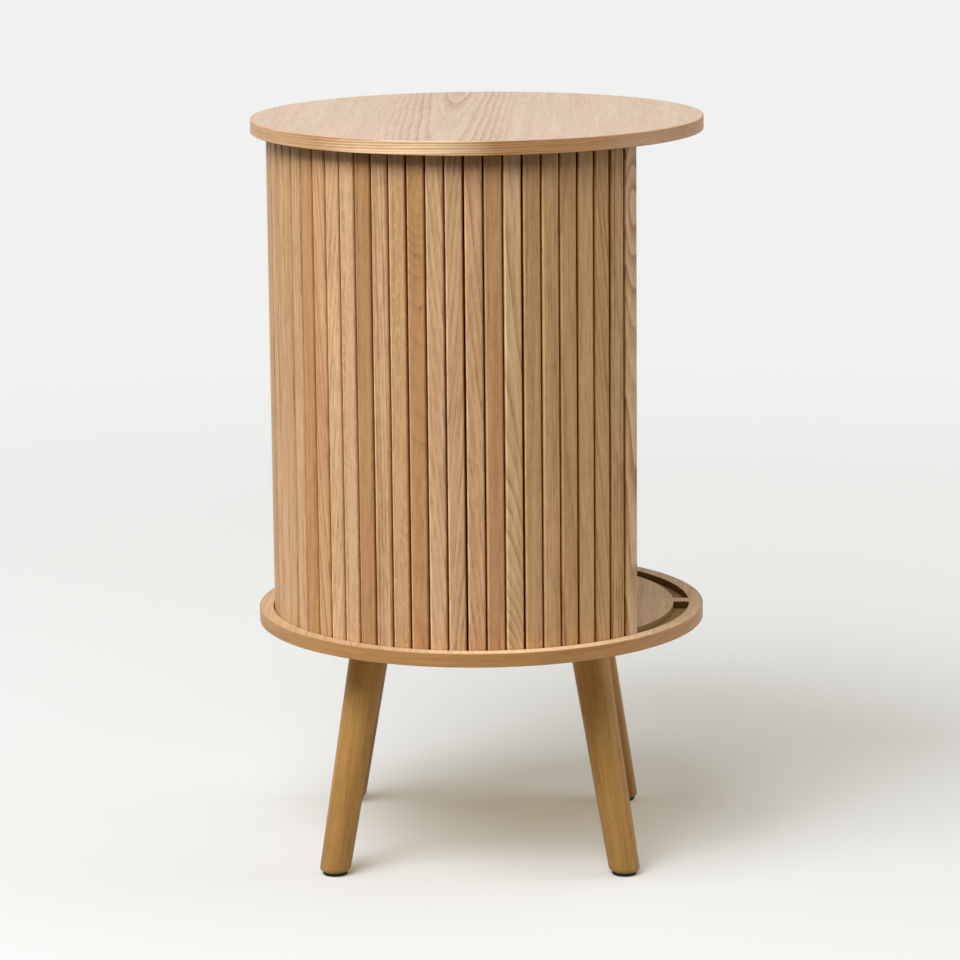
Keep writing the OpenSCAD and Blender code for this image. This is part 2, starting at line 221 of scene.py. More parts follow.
def oak_group():
    """Oak's growth rings round the log's heart, with open pores, fine lines and ray flecks.
    Place is in metres: x across the board, y through it and z along the grain. Knot closes
    the rings just above and below the heart's height, as they run beside a branch."""
    group = bpy.data.node_groups.new("oak", "ShaderNodeTree")
    for name, kind, value in (
            ("Place", "NodeSocketVector", (0, 0, 0)),
            ("Seed", "NodeSocketFloat", 0.0),
            ("Tone", "NodeSocketColor", (0.57, 0.34, 0.17, 1)),
            ("Heart", "NodeSocketVector", (0.03, 0.05, 0)),
            ("Lean", "NodeSocketVector", (0, 0.03, 0)),
            ("Knot", "NodeSocketFloat", 0.0),
            ("Ring", "NodeSocketFloat", 0.003),
            ("Wander", "NodeSocketFloat", 0.004),
            ("Rings", "NodeSocketFloat", 0.5),
            ("Pores", "NodeSocketFloat", 0.5),
            ("Lines", "NodeSocketFloat", 0.5),
            ("Flecks", "NodeSocketFloat", 0.0),
            ("Blush", "NodeSocketFloat", 0.5),
            ("Satin", "NodeSocketFloat", 0.42)):
        group.interface.new_socket(name, in_out="INPUT", socket_type=kind).default_value = value
    for name, kind in (("Colour", "NodeSocketColor"), ("Roughness", "NodeSocketFloat"),
                       ("Height", "NodeSocketFloat")):
        group.interface.new_socket(name, in_out="OUTPUT", socket_type=kind)
    given = node(group, "NodeGroupInput").outputs

    def sums(operation, a, b=0.0, c=0.0, **settings):
        return maths(group, operation, a, b, c, **settings)

    def vectors(operation, a, b):
        return node(group, "ShaderNodeVectorMath", {0: a, 1: b}, operation=operation).outputs[0]

    def ramp(value, low, high):
        return node(group, "ShaderNodeMapRange", {0: value, 1: low, 2: high},
                    interpolation_type="SMOOTHSTEP").outputs[0]

    def noise(a_metre, detail, rough=0.5):
        """Noise with so many spots a metre across, through and along the grain."""
        return node(group, "ShaderNodeTexNoise",
                    {"Vector": vectors("MULTIPLY", shifted, a_metre), "Scale": 1.0,
                     "Detail": detail, "Roughness": rough}).outputs[0]

    # Where a point lies from the heart. The seed moves the noise, so that no two pieces match
    shift = three(group, sums("MULTIPLY", given["Seed"], 1.37), 0.0,
                  sums("MULTIPLY", given["Seed"], 0.731))
    along = parts_of(group, given["Place"])[2]
    leant = node(group, "ShaderNodeVectorMath", {0: given["Lean"], "Scale": along},
                 operation="SCALE").outputs[0]
    from_heart = vectors("SUBTRACT", vectors("SUBTRACT", given["Place"], given["Heart"]), leant)
    shifted = vectors("ADD", from_heart, shift)
    rise = parts_of(group, from_heart)

    # Rings: each year starts dark and pales outwards, some years more strongly than others
    fading = sums("MULTIPLY_ADD", sums("ABSOLUTE", rise[2]), 8.0, 1.0)
    closing = sums("DIVIDE", sums("MULTIPLY", rise[2], given["Knot"]), fading)
    flat = node(group, "ShaderNodeVectorMath", {0: three(group, rise[0], rise[1], closing)},
                operation="LENGTH").outputs["Value"]
    wave = sums("MULTIPLY_ADD", noise((60, 60, 16), 1.0), 0.3, noise((14, 14, 3.6), 2.0))
    drift = sums("MULTIPLY", sums("SUBTRACT", wave, 0.65), given["Wander"])
    turns = sums("DIVIDE", sums("ADD", flat, drift), given["Ring"])
    part = sums("FRACT", turns)
    year = node(group, "ShaderNodeTexWhiteNoise", {"W": sums("FLOOR", turns)},
                noise_dimensions="1D").outputs[0]
    early = sums("MULTIPLY", sums("POWER", sums("SUBTRACT", 1.0, part), 1.8),
                 ramp(part, 0.0, 0.14))
    rings = sums("MULTIPLY", early, sums("MULTIPLY_ADD", year, 0.9, 0.35))

    # Everything finer, mostly drawn out along the grain. All of it darkens the wood but the
    # flecks, which are paler
    pores = sums("MULTIPLY", ramp(noise((900, 900, 38), 2.0, 0.6), 0.52, 0.7),
                 sums("MULTIPLY_ADD", rings, 0.8, 0.3))
    lines = sums("SUBTRACT", noise((360, 360, 13), 4.0, 0.75), 0.5)
    broad = sums("SUBTRACT", noise((90, 90, 2.2), 2.0), 0.5)
    mottle = sums("SUBTRACT", noise((260, 260, 60), 3.0, 0.7), 0.5)
    flecks = ramp(noise((520, 520, 150), 1.0), 0.56, 0.7)
    dark = sums("MULTIPLY", rings, given["Rings"])
    dark = sums("MULTIPLY_ADD", pores, given["Pores"], dark)
    dark = sums("MULTIPLY_ADD", lines, sums("MULTIPLY", given["Lines"], 2.8), dark)
    dark = sums("MULTIPLY_ADD", broad, sums("MULTIPLY", given["Lines"], 1.6), dark)
    dark = sums("MULTIPLY_ADD", mottle, sums("MULTIPLY", given["Lines"], 1.6), dark)
    dark = sums("SUBTRACT", dark, sums("MULTIPLY", flecks, given["Flecks"]))
    dark = sums("ADD", dark, 0.18, use_clamp=True)

    # The tone drifts between yellow and pink, and the dark figure is redder than the pale wood
    warm = ramp(noise((30, 30, 6.0), 1.5), 0.36, 0.64)
    blush = sums("MULTIPLY", given["Blush"], warm)
    tone = blend(group, blush, vectors("MULTIPLY", given["Tone"], (0.99, 1.0, 0.96)),
                 vectors("MULTIPLY", given["Tone"], (1.02, 0.955, 1.02)))
    colour = blend(group, dark, vectors("MULTIPLY", tone, (1.09, 1.11, 1.14)),
                   vectors("MULTIPLY", tone, (0.60, 0.49, 0.38)))
    rough = sums("MULTIPLY_ADD", dark, 0.16, given["Satin"])
    height = sums("MULTIPLY_ADD", pores, -1.0, sums("MULTIPLY", rings, -0.35))
    node(group, "NodeGroupOutput", {"Colour": colour, "Roughness": rough, "Height": height})
    return group


oak_grain = oak_group()
pore_depth = 0.00005


def oak(name, place, gloss=0.15, **values):
    """An oak finish. place draws the grain's coordinates in the material's own tree, and a
    value that is a word names an attribute of the mesh."""
    material, tree, shader = finish_of(name, IOR=1.5, Specular_IOR_Level=gloss)
    grain = node(tree, "ShaderNodeGroup", node_tree=oak_grain)
    tree.links.new(place(tree), grain.inputs["Place"])
    for socket, value in values.items():
        socket = grain.inputs[socket.replace("_", " ")]
        if isinstance(value, str):
            attribute = node(tree, "ShaderNodeAttribute", attribute_name=value).outputs
            kind = {"RGBA": "Color", "VECTOR": "Vector", "VALUE": "Fac"}[socket.type]
            tree.links.new(attribute[kind], socket)
        else:
            socket.default_value = value
    feed(shader, Base_Color=grain.outputs["Colour"], Roughness=grain.outputs["Roughness"],
         Normal=bumps(tree, grain.outputs["Height"], pore_depth))
    return material


def grain_along(*axes):
    """Grain coordinates from the table's own x, y and z (0, 1, 2): across, through, along."""
    def place(tree):
        parts = parts_of(tree, object_place(tree))
        return three(tree, *(parts[axis] for axis in axes))
    return place


real_edge = math.radians(32)
large_faces_lead = 100


def placed(name, mesh):
    """An object for the mesh, smooth but for its real edges, its flat faces shaded flat."""
    mesh.shade_smooth()
    mesh.set_sharp_from_angle(angle=real_edge)
    piece = bpy.data.objects.new(name, mesh)
    bpy.context.scene.collection.objects.link(piece)
    weighing = piece.modifiers.new("flat faces stay flat", "WEIGHTED_NORMAL")
    weighing.keep_sharp = True
    weighing.weight = large_faces_lead
    ready = piece.evaluated_get(bpy.context.evaluated_depsgraph_get())
    weighed = bpy.data.meshes.new_from_object(ready)
    piece.modifiers.remove(weighing)
    piece.data = weighed
    return piece


turned_steps = 256


def turned(name, outline):
    """A closed form turned round the z axis. Its outline runs from axis to axis, or is a
    closed loop whose last point is its first."""
    loop = outline[0] == outline[-1]
    form = bmesh.new()
    rows = []
    for r, z in outline[:-1] if loop else outline:
        if r == 0:
            rows.append([form.verts.new((0, 0, z))] * turned_steps)
        else:
            rows.append([form.verts.new((r * math.sin(t), -r * math.cos(t), z))
                         for t in (math.tau * s / turned_steps for s in range(turned_steps))])
    for low, high in zip(rows, rows[1:] + rows[:1] if loop else rows[1:]):
        for s in range(turned_steps):
            e = (s + 1) % turned_steps
            form.faces.new(dict.fromkeys([low[s], low[e], high[e], high[s]]))
    bmesh.ops.recalc_face_normals(form, faces=form.faces)
    mesh = bpy.data.meshes.new(name)
    form.to_mesh(mesh)
    form.free()
    return placed(name, mesh)


def written(mesh, name, kind, field, values):
    """Gives the mesh's points an attribute."""
    mesh.attributes.new(name, kind, "POINT").data.foreach_set(
        field, np.array(values, np.float32).ravel())


def degrees_from(middle, point):
    """How far round the table a point lies from an angle. Both go from the front towards +X."""
    return math.degrees(math.atan2(point.co.x, -point.co.y)) - middle


base_low, base_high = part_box("base_board")
top_low, top_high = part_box("top_board")
core_r = 0.1989
track_outer = 0.1875
track_inner = 0.1734
track_depth = 0.0065
broken = 0.0003
# How far off the track's walls and the boards' faces a polygon still counts as one of them
wall_slack, face_slack = 0.0001, 0.001


def board_outline(face, back):
    """From the middle of the routed face, through the track and over the edge, to the back."""
    inward = 1 if back > face else -1
    eased = face + inward * broken
    bottom = face + inward * track_depth
    return [(0, face), (track_inner - broken, face), (track_inner, eased),
            (track_inner, bottom), (track_outer, bottom), (track_outer, eased),
            (track_outer + broken, face), (core_r, face), (core_r, back), (0, back)]


heart_x = -0.022
top_veneer = oak("top veneer", grain_along(0, 2, 1), gloss=0.5, Tone=(0.485, 0.34, 0.225, 1),
                 Heart=(heart_x, 0.64, 0), Lean=(0, 0.03, 0), Ring=0.0055, Wander=0.006,
                 Pores=0.3, Lines=0.3, Blush=0.5, Satin=0.36, Seed=3.1)
base_veneer = oak("base veneer", grain_along(0, 2, 1), Tone="tone",
                  Heart=(0.09, 0.05, 0), Lean=(0.02, 0.03, 0), Ring=0.0045, Wander=0.012,
                  Rings=0.25, Pores=0.4, Lines=0.4, Blush=0.8, Satin=0.5, Seed=8.4)
# The top's veneer shows its rings only in a strip over the heart, just left of the middle
strip_half, strip_fades_to, strip_rings, other_rings = 0.035, 0.065, 0.6, 0.06
tree = top_veneer.node_tree
off_heart = maths(tree, "SUBTRACT", parts_of(tree, object_place(tree))[0], heart_x)
top_rings = node(tree, "ShaderNodeMapRange", {0: maths(tree, "ABSOLUTE", off_heart),
                                              1: strip_half, 2: strip_fades_to,
                                              3: strip_rings, 4: other_rings},
                 interpolation_type="SMOOTHSTEP").outputs[0]
tree.links.new(top_rings, tree.nodes["Group"].inputs["Rings"])
# Painted shade darkens the outer walls of the tracks, whose normals point to the axis, and
# painted light makes the inner walls paler.
fibre, tree, shader = finish_of("fibreboard core", Roughness=0.8, Specular_IOR_Level=0.1)
level_colour = blend(tree, spots(tree, 900.0, 3.0, 0.7), (0.23, 0.13, 0.05, 1),
                     (0.38, 0.245, 0.115, 1))
at = node(tree, "ShaderNodeTexCoord").outputs
outwards = node(tree, "ShaderNodeVectorMath", {0: at["Normal"], 1: at["Object"]},
                operation="DOT_PRODUCT").outputs["Value"]
# Painted shade on the outer walls, painted light on the inner walls
walls_painted_light_and_shade = blend(tree, maths(tree, "GREATER_THAN", outwards), (0.12, 0.068, 0.02, 1),
                    (0.40, 0.25, 0.105, 1))
level_face = maths(tree, "ABSOLUTE", parts_of(tree, at["Normal"])[2])
feed(shader, Base_Color=blend(tree, level_face, walls_painted_light_and_shade, level_colour))
# The base's veneer is paler on the rim in front of the door
base_tone, rim_paler, rim_middle, rim_reach = (0.55, 0.375, 0.21), (0.40, 0.44, 0.56), 12, 38
for name, outline, veneer in (
        ("top_board", board_outline(top_low.z, top_high.z), top_veneer),
        ("base_board", board_outline(base_high.z, base_low.z), base_veneer)):
    board = turned(name + "_veneered", outline)
    board.data.materials.append(veneer)
    board.data.materials.append(fibre)
    for face in board.data.polygons:
        from_axis, z = face.center.xy.length, face.center.z
        over_track = track_inner - wall_slack < from_axis < track_outer + wall_slack
        within = base_low.z + face_slack < z < top_high.z - face_slack
        face.material_index = int(over_track and within)
    shades = []
    for point in board.data.vertices:
        pale = 0.0
        if point.co.xy.length > track_outer:
            pale = max(0.0, 1 - (degrees_from(rim_middle, point) / rim_reach) ** 2)
        shades.append([c * (1 + p * pale) for c, p in zip(base_tone, rim_paler)] + [1.0])
    written(board.data, "tone", "FLOAT_COLOR", "color", shades)
    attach(board, "table")
    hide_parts(name)


# ---- Edging ----------------------------------------------------------------------------------
# A 1 mm strip of solid oak bent round each board and glued on, its grain running round the
# edge and both outer edges eased by sanding. The ends of the strip meet at the back.
edge_r = 0.2
edging_t = 0.001
eased_r = 0.0006


def grain_round_edge(tree):
    parts = parts_of(tree, object_place(tree))
    turn = maths(tree, "ARCTAN2", parts[0], maths(tree, "MULTIPLY", parts[1], -1.0))
    return three(tree, parts[2], 0.0, maths(tree, "MULTIPLY", turn, edge_r))


# The top's strip is paler and shows its rings more in one stretch near the front, and stays a
# little paler left of there. The reaches, to the left, to the right and of the rings, are in
# degrees from the middle of that stretch.
pale_middle, left_reach, right_reach, rings_reach = -15, 28, 21, 40
palest = (1.0, 0.73, 0.46)
for cad_node, tone, paler, left_paler, rings, more_rings, heart_z in (
        ("top_edging", (0.49, 0.262, 0.105), 1.0, 0.17, 0.25, 1.3, 0.69),
        ("base_edging", (0.412, 0.21, 0.067), 0.0, 0.0, 0.2, 0.0, 0.15)):
    low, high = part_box(cad_node)
    solid_oak = oak(cad_node.replace("_", " "), grain_round_edge, Tone="tone",
                    Heart=(heart_z, 0.012, 0), Lean=(0.012, 0, 0), Ring=0.0022, Wander=0.005,
                    Rings="rings", Pores=0.35, Lines=0.4, Satin=0.42, Seed=heart_z, gloss=0.45)
    easing = [(edge_r - eased_r * (1 - math.sin(t)), eased_r * (1 - math.cos(t)))
              for t in (math.radians(22.5 * i) for i in range(5))]
    outline = [(edge_r - edging_t, low.z)]
    outline += [(r, low.z + z) for r, z in easing]
    outline += [(r, high.z - z) for r, z in reversed(easing)]
    outline += [(edge_r - edging_t, high.z), (edge_r - edging_t, low.z)]
    strip = turned(cad_node + "_strip", outline)
    strip.data.materials.append(solid_oak)
    shades, strengths = [], []
    for point in strip.data.vertices:
        from_middle = degrees_from(pale_middle, point)
        reach, least = (left_reach, left_paler) if from_middle < 0 else (right_reach, 0.0)
        pale = max(paler * (1 - (from_middle / reach) ** 2), least)
        shades.append([c + (p - c) * pale for c, p in zip(tone, palest)] + [1.0])
        strengths.append(rings + more_rings * max(0.0, 1 - (from_middle / rings_reach) ** 2))
    written(strip.data, "tone", "FLOAT_COLOR", "color", shades)
    written(strip.data, "rings", "FLOAT", "value", strengths)
    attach(strip, "table")
    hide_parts(cad_node)


# ---- Stop blocks -----------------------------------------------------------------------------
# Small oak blocks glued across both tracks, level with the faces of the boards, for the
# door's edges to stop against. Their sides within the tracks are painted dark, as painted shade.
stop_oak = oak("stop oak", grain_along(1, 2, 0), Rings=0.4, Heart=(0.02, 0.1, 0), Seed=5.2)
tree = stop_oak.node_tree
behind_face = 0.0002
middle_z, to_face = (base_high.z + top_low.z) / 2, (top_low.z - base_high.z) / 2
off_middle = maths(tree, "SUBTRACT", parts_of(tree, object_place(tree))[2], middle_z)
# Painted shade on the blocks' sides within the tracks
painted_shade_in_track = maths(tree, "GREATER_THAN", maths(tree, "ABSOLUTE", off_middle),
                 to_face + behind_face)
tone = blend(tree, painted_shade_in_track, (0.52, 0.32, 0.175, 1), (0.13, 0.07, 0.022, 1))
tree.links.new(tone, tree.nodes["Group"].inputs["Tone"])


def finish_nodes(material, *cad_nodes):
    """Gives carried-over CAD nodes their finish."""
    for name in cad_nodes:
        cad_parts[name].data.materials.clear()
        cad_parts[name].data.materials.append(material)


finish_nodes(stop_oak, "top_stop_block", "base_stop_block")


# ---- Door slats ------------------------------------------------------------------------------
# Thirty-five planed oak slats cut from different boards, so that tone and figure change from
# one to the next. Both outer edges are rounded, and the flat backs are glued to the canvas.
slat_count = 35
slat_w, slat_t, slat_round = 0.0152, 0.010, 0.002
back_share = 0.12
slat_low, slat_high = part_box("slat_01")


def given_to(tree, output, **inputs):
    """Adds a tree's named inputs and its output."""
    kinds = {"INT": "NodeSocketInt", "FLOAT": "NodeSocketFloat", "PLACES": "NodeSocketGeometry",
             "FINISH": "NodeSocketMaterial"}
    for name, kind in inputs.items():
        tree.interface.new_socket(name.replace("_", " "), in_out="INPUT", socket_type=kinds[kind])
    tree.interface.new_socket(output, in_out="OUTPUT", socket_type="NodeSocketGeometry")
    return node(tree, "NodeGroupInput").outputs


def closed(tree, form, bottom):
    """Closes a form that was extruded from its bottom face."""
    under = node(tree, "GeometryNodeFlipFaces", {"Mesh": bottom}).outputs[0]
    whole = node(tree, "GeometryNodeJoinGeometry")
    tree.links.new(form, whole.inputs[0])
    tree.links.new(under, whole.inputs[0])
    return node(tree, "GeometryNodeMergeByDistance",
                {"Geometry": whole.outputs[0], "Distance": 0.00001}).outputs[0]


def give_out(tree, copies, finish):
    """Makes one mesh of the copies, with its finish."""
    mesh = node(tree, "GeometryNodeRealizeInstances", {"Geometry": copies}).outputs[0]
    mesh = node(tree, "GeometryNodeSetMaterial", {"Geometry": mesh, "Material": finish}).outputs[0]
    node(tree, "NodeGroupOutput", {0: mesh})


def slats_tree():
    tree = bpy.data.node_groups.new("slats in a ring", "GeometryNodeTree")
    given = given_to(tree, "Slats", Count="INT", Width="FLOAT", Thickness="FLOAT",
                     Rounding="FLOAT", Bottom="FLOAT", Length="FLOAT", Back_radius="FLOAT",
                     Pitch="FLOAT", Leading_edge="FLOAT", Finish="FINISH")

    def sums(operation, a, b=0.0, c=0.0):
        return maths(tree, operation, a, b, c)

    # The section: outer face towards -y, whose corners are rounded, and the back's just broken
    section = node(tree, "GeometryNodeCurvePrimitiveQuadrilateral",
                   {"Width": given["Width"], "Height": given["Thickness"]}).outputs[0]
    at = node(tree, "GeometryNodeInputPosition").outputs[0]
    outer = sums("LESS_THAN", parts_of(tree, at)[1])
    share = sums("MULTIPLY_ADD", outer, 1 - back_share, back_share)
    radius = sums("MULTIPLY", given["Rounding"], share)
    section = node(tree, "GeometryNodeFilletCurve",
                   {"Curve": section, "Count": 6, "Radius": radius}, mode="POLY").outputs[0]
    bottom = node(tree, "GeometryNodeFillCurve", {"Curve": section}, mode="NGONS").outputs[0]
    lengthwise = node(tree, "GeometryNodeExtrudeMesh",
                      {"Mesh": bottom, "Offset": three(tree, 0, 0, given["Length"]),
                       "Offset Scale": 1.0, "Individual": False}).outputs[0]
    slat = node(tree, "GeometryNodeStoreNamedAttribute",
                {"Geometry": closed(tree, lengthwise, bottom), "Name": "grain_place", "Value": at},
                data_type="FLOAT_VECTOR", domain="POINT").outputs[0]
    out = sums("MULTIPLY_ADD", given["Thickness"], 0.5, given["Back radius"])
    slat = node(tree, "GeometryNodeTransform",
                {"Geometry": slat, "Translation": three(tree, 0, sums("MULTIPLY", out, -1.0),
                                                        given["Bottom"])}).outputs[0]

    # One point for each slat, all on the axis, each turned to its place in the ring
    points = node(tree, "GeometryNodePoints", {"Count": given["Count"]}).outputs[0]
    number = node(tree, "GeometryNodeInputIndex").outputs[0]
    turn = sums("SUBTRACT", given["Leading edge"],
                sums("MULTIPLY", sums("ADD", number, 0.5), given["Pitch"]))
    ring = node(tree, "GeometryNodeInstanceOnPoints",
                {"Points": points, "Instance": slat,
                 "Rotation": three(tree, 0, 0, turn)}).outputs[0]
    ring = node(tree, "GeometryNodeStoreNamedAttribute",
                {"Geometry": ring, "Name": "slat", "Value": number},
                data_type="FLOAT", domain="INSTANCE").outputs[0]
    give_out(tree, ring, given["Finish"])
    return tree


def grown(name, tree, places=(), **values):
    """The mesh that a geometry tree makes on a few places. Its inputs are set by identifier."""
    points = bpy.data.meshes.new(name + " places")
    points.from_pydata(places, [], [])
    seed = bpy.data.objects.new(name, points)
    bpy.context.scene.collection.objects.link(seed)
    modifier = seed.modifiers.new(name, "NODES")
    modifier.node_group = tree
    sockets = {item.name.replace(" ", "_"): item.identifier
               for item in tree.interface.items_tree if item.in_out == "INPUT"}
    for socket, value in values.items():
        modifier[sockets[socket]] = value
    ready = seed.evaluated_get(bpy.context.evaluated_depsgraph_get())
    mesh = bpy.data.meshes.new_from_object(ready)
    seed.modifiers.remove(modifier)
    bpy.data.objects.remove(seed)
    mesh.name = name
    return mesh


def grain_place(tree):
    """Grain coordinates that were written on the mesh."""
    return node(tree, "ShaderNodeAttribute", attribute_name="grain_place").outputs["Vector"]


slat_oak = oak("slat oak", grain_place, Tone="tone", Heart="heart", Lean="lean", Seed="slat",
               Knot="knot", Ring="ring", Rings="rings", Pores="pores", Lines="lines",
               Flecks="flecks", Wander=0.006, Blush=0.6, Satin=0.38)
shine = node(slat_oak.node_tree, "ShaderNodeAttribute", attribute_name="shine").outputs["Fac"]
feed(slat_oak.node_tree.nodes["Principled BSDF"], Specular_IOR_Level=shine)
slat_mesh = grown("door_slats", slats_tree(), Count=slat_count, Width=slat_w, Thickness=slat_t,
                  Rounding=slat_round, Bottom=slat_low.z, Length=slat_high.z - slat_low.z,
                  Back_radius=0.1763, Pitch=math.radians(5.105),
                  Leading_edge=math.radians(49.1), Finish=slat_oak)

# Tones and cuts chosen slat by slat from the leading edge, the tones moved until each
# slat's average came near the photo's. A cut is where the log's heart lay (across, deep, and
# the height of a knot), how the grain leans in a metre (across, deep), how tightly the knot
# closes the rings, the width of a year's ring, and how strongly rings, pores, fine lines and
# ray flecks show. A turned slat's cut is mirrored.
tones = {"cream": (0.69, 0.48, 0.285), "light": (0.675, 0.44, 0.24),
         "pale": (0.62, 0.39, 0.215), "rose": (0.66, 0.41, 0.235), "pink": (0.62, 0.37, 0.195),
         "honey": (0.56, 0.345, 0.16), "gold": (0.565, 0.345, 0.17), "olive": (0.575, 0.365, 0.18),
         "dun": (0.54, 0.325, 0.155), "brown": (0.52, 0.285, 0.13), "dark": (0.47, 0.26, 0.113)}
cuts = {"straight": ((0.09, 0.02, 0), (0.002, 0.0), 0.0, 0.0036, 0.5, 0.6, 0.6, 0.1),
        "fine": ((-0.07, 0.05, 0), (0.0, 0.004), 0.0, 0.0022, 0.3, 0.6, 0.55, 0.1),
        "plain": ((0.04, 0.05, 0), (0.01, 0.01), 0.0, 0.0050, 0.25, 0.5, 0.45, 0.15),
        "lined": ((0.03, 0.012, 0), (0.006, 0.004), 0.0, 0.0030, 0.85, 0.6, 0.8, 0.0),
        "wavy": ((0.02, 0.012, 0), (0.05, 0.06), 0.0, 0.0036, 0.45, 0.6, 0.5, 0.1),
        "slanting": ((0.06, 0.03, 0), (0.10, 0.0), 0.0, 0.0042, 0.6, 0.5, 0.5, 0.0),
        "flecked": ((0.05, 0.05, 0), (0.0, 0.0), 0.0, 0.0040, 0.2, 0.5, 0.4, 0.75),
        "knotted": ((0.004, 0.003, 0.385), (0.0, 0.03), 0.40, 0.0026, 1.1, 0.5, 0.4, 0.1),
        "barred": ((0.010, 0.004, -0.03), (0.02, 0.01), 0.50, 0.0026, 0.65, 0.5, 0.45, 0.0),
        "hooked": ((0.008, 0.010, 0.34), (0.01, 0.01), 0.25, 0.0050, 0.5, 0.5, 0.45, 0.1),
        "arched": ((0.003, 0.005, 0.40), (0.0, 0.02), 0.55, 0.0018, 0.3, 0.5, 0.45, 0.0)}
slats = ("cream knotted, olive lined, honey slanting turned, olive fine, dun hooked, gold fine, "
         "dun plain, light barred turned, brown plain, pink wavy turned, pale slanting, "
         "rose wavy turned, brown arched, gold flecked, pale lined turned, dark plain, "
         "pale flecked, light wavy, pink slanting turned, brown plain, pale straight, olive fine, "
         "pale straight turned, pale fine, honey lined, olive fine turned, pale straight, "
         "pink plain, honey wavy, pale fine turned, brown lined, honey plain, "
         "pale straight turned, olive slanting, honey fine").split(", ")
number = np.empty(len(slat_mesh.vertices), np.float32)
slat_mesh.attributes["slat"].data.foreach_get("value", number)
number = number.round().astype(int)


def write_by_slat(name, kind, field, rows):
    """Gives every corner of a slat the slat's own value."""
    written(slat_mesh, name, kind, field, np.array(rows)[number])


chosen = [(tones[word.split()[0]], cuts[word.split()[1]], -1 if "turned" in word else 1)
          for word in slats]
# The sides and their corners are painted darker towards the glued back, as painted shade in
# the gaps, and lose their shine there, the corners half as much. How dark a gap's painted shade
# is, in order from the first slat's left side, and which colour a depth of one leaves. From the
# fifth slat on, the first part of the left corner gets a painted highlight that makes it paler,
# fully so from the seventh.
own_gap_shades = (1.9, 1.9, 1.5, 1.8, 0.7, 0.8, 2.6, 0.3, 0.25, 2.2, 0.45, 0.4, 0.9)
common_gap_shade = 0.45
painted_gap_shades = np.array(own_gap_shades + (common_gap_shade,) * (slat_count - len(own_gap_shades)))
gap_shade_colour = np.array((0.4, 0.2, 0.05))
unhighlit_slats, highlit_part, painted_highlight = 4, 0.4, (0.25, 0.34, 0.48)
flat_half = slat_w / 2 - slat_round + 0.0001
slat_shine = 0.09
place = np.empty((len(slat_mesh.vertices), 3), np.float32)
slat_mesh.attributes["grain_place"].data.foreach_get("vector", place.ravel())
across, deep = place[:, 0], place[:, 1]
round_the_corner = np.clip((deep + slat_t / 2) / slat_round, 0, 1)
highlit_side = (across < 0) & (number >= unhighlit_slats)
highlit = highlit_side & (across < -flat_half) & (round_the_corner < highlit_part)
round_the_corner[highlit_side] = np.clip(
    (round_the_corner[highlit_side] - highlit_part) / (1 - highlit_part), 0, 1)
# Painted shade in the gaps: sides and corners darken towards the back
dark = painted_gap_shades[number - (across > 0)] * np.where(deep > 0, 1, 0.5 * round_the_corner)
shade = gap_shade_colour ** dark[:, None]
paler = np.clip((number - unhighlit_slats + 1) / 3, 0, 1)[:, None] * painted_highlight
# Painted highlight on the first part of the left corners
shade[highlit] += paler[highlit]
tone = np.array([tone for tone, _, _ in chosen])[number] * shade
written(slat_mesh, "shine", "FLOAT", "value", slat_shine * np.clip(1 - 2 * dark, 0, 1))
written(slat_mesh, "tone", "FLOAT_COLOR", "color", np.column_stack((tone, np.ones(len(tone)))))
write_by_slat("heart", "FLOAT_VECTOR", "vector",
              [(cut[0][0] * way, *cut[0][1:]) for _, cut, way in chosen])
write_by_slat("lean", "FLOAT_VECTOR", "vector",
              [(cut[1][0] * way, cut[1][1], 0) for _, cut, way in chosen])
for i, name in enumerate(("knot", "ring", "rings", "pores", "lines", "flecks")):
    write_by_slat(name, "FLOAT", "value", [cut[2 + i] for _, cut, _ in chosen])
door = placed("door_slats", slat_mesh)
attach(door, "tambour_door")
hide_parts(*(f"slat_{n:02d}" for n in range(1, slat_count + 1)))


# ---- Door canvas -----------------------------------------------------------------------------
# Plain woven brown cotton glued over the backs of all the slats, short of both tracks,
# which makes them one flexible door.
canvas_r = 0.176
thread_pitch, thread_depth, thread_shows = 0.0007, 0.0002, 0.18


def thread_wave(tree, value):
    return maths(tree, "SINE", maths(tree, "MULTIPLY", value, math.pi / thread_pitch))


cotton, tree, shader = finish_of("cotton canvas", Roughness=0.9, Specular_IOR_Level=0.0)
parts = parts_of(tree, object_place(tree))
round_the_door = maths(tree, "MULTIPLY", maths(tree, "ARCTAN2", parts[0], parts[1]), canvas_r)
weave = maths(tree, "MULTIPLY", thread_wave(tree, round_the_door), thread_wave(tree, parts[2]))
threads = maths(tree, "MULTIPLY_ADD", weave, thread_shows, spots(tree, 90.0, 3.0))
feed(shader, Base_Color=blend(tree, threads, (0.17, 0.06, 0.012, 1), (0.28, 0.12, 0.03, 1)),
     Normal=bumps(tree, weave, thread_depth))
finish_nodes(cotton, "door_canvas")


# ---- Legs ------------------------------------------------------------------------------------
# Four turned and tapered hardwood legs, oiled a golden brown, with painted light making them paler
# at the top and painted shade darker towards the foot.
# They splay outwards, and each foot is cut level with the floor and rounded above its glide.
# Where the legs stand, in degrees from the front towards +X
leg_angles = {"leg_front_left": -47, "leg_front_right": 47,
              "leg_rear_right": 133, "leg_rear_left": 227}
base_z = 0.208
plate_and_boss = 0.0065
leg_top_r, leg_foot_r = 0.1304, 0.1762
leg_lean = math.atan((leg_foot_r - leg_top_r) / base_z)
leg_start = plate_and_boss / math.cos(leg_lean)
leg_end = base_z / math.cos(leg_lean)
top_radius, foot_radius = 0.0163, 0.0135
top_chamfer = 0.0015
foot_level, foot_round = 0.003, 0.004
taper = (foot_radius - top_radius) / (leg_end - leg_start - top_chamfer)
leg_tone, top_shade, foot_darker = (0.377, 0.207, 0.062), 1.17, 0.32
leg_sides, leg_rings, foot_rings = 64, 24, 6


